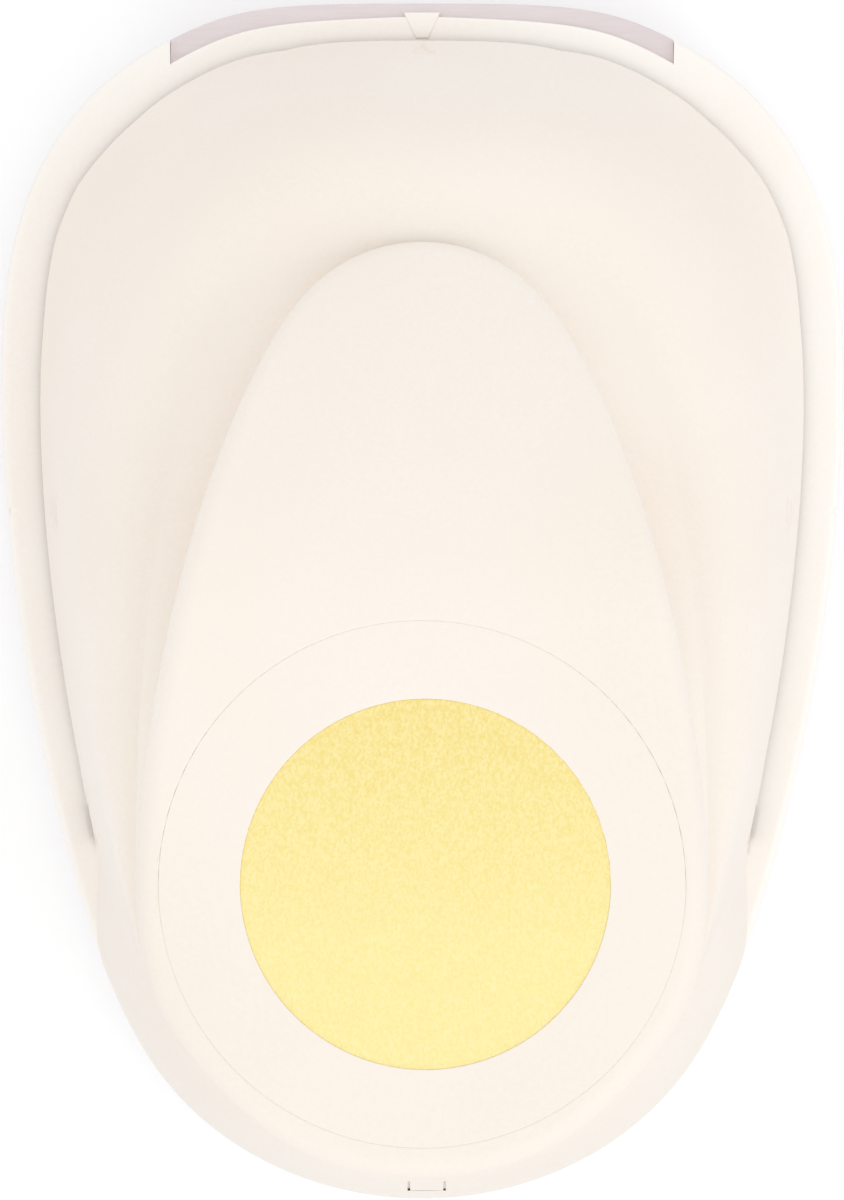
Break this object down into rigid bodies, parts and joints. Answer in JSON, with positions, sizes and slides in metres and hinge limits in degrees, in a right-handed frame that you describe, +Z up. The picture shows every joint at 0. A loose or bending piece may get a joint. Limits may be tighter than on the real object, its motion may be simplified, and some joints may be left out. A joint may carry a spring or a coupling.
{
  "type": "circle punch",
  "caption": "Desk punch with a long press lever, a paper slot all round its head and a round steel cutter that cuts a circle out of card.",
  "frame": {"origin": "centre of the body's footprint, on the desk", "axes": "+Z up from the desk; -Y towards the paper mouth, +Y towards the press pad; X across the body"},
  "size_m": [0.09, 0.1276, 0.056],
  "materials": {
    "ivory_plastic": "moulded, satin",
    "lilac_plastic": "moulded, satin",
    "yellow_plastic": "moulded, fine grain",
    "plate_steel": "stamped",
    "tool_steel": "ground",
    "spring_steel": "drawn wire",
    "zinc_steel": "zinc plated"
  },
  "bodies": {
    "case": {"bottom_cover": "lilac_plastic", "base_frame": "ivory_plastic", "paper_stop": "ivory_plastic", "upper_shell": "ivory_plastic", "rear_tongue": "ivory_plastic", "die_plate": "plate_steel", "plate_spacer": "plate_steel", "guide_plate": "plate_steel", "plate_rivet_1": "zinc_steel", "plate_rivet_2": "zinc_steel", "plate_rivet_3": "zinc_steel", "pivot_bracket": "plate_steel", "bracket_rivet_left": "zinc_steel", "bracket_rivet_right": "zinc_steel", "hinge_pin": "tool_steel", "hinge_pin_clip": "spring_steel", "guide_pin_left": "tool_steel", "guide_pin_right": "tool_steel", "rear_case_screw_left": "zinc_steel", "rear_case_screw_right": "zinc_steel", "front_case_screw_left": "zinc_steel", "front_case_screw_right": "zinc_steel", "head_screw_left": "zinc_steel", "head_screw_right": "zinc_steel", "return_spring_left": "spring_steel", "return_spring_right": "spring_steel"},
    "punch": {"punch_cutter": "tool_steel", "press_plate": "plate_steel", "cutter_screw_1": "zinc_steel", "cutter_screw_2": "zinc_steel", "cutter_screw_3": "zinc_steel"},
    "lever_arm": {"lever": "ivory_plastic", "pad_cap": "ivory_plastic", "shape_disc": "yellow_plastic"}
  },
  "joints": [
    {"name": "lever_press", "type": "hinge", "parent": "case", "child": "lever_arm", "pos_m": [0, -0.0314, 0.029], "axis": [-1, 0, 0], "range_deg": [0, 10], "stiffness_Nm_per_rad": 1.5, "springref_deg": -17.19},
    {"name": "punch_slide", "type": "slide", "parent": "case", "child": "punch", "axis": [0, 0, -1], "range_m": [0, 0.00383], "deforming": ["return_spring_left", "return_spring_right"]}
  ],
  "couplings": [
    {"joint": "punch_slide", "follows": "lever_press", "m_per_rad": 0.0219}
  ]
}
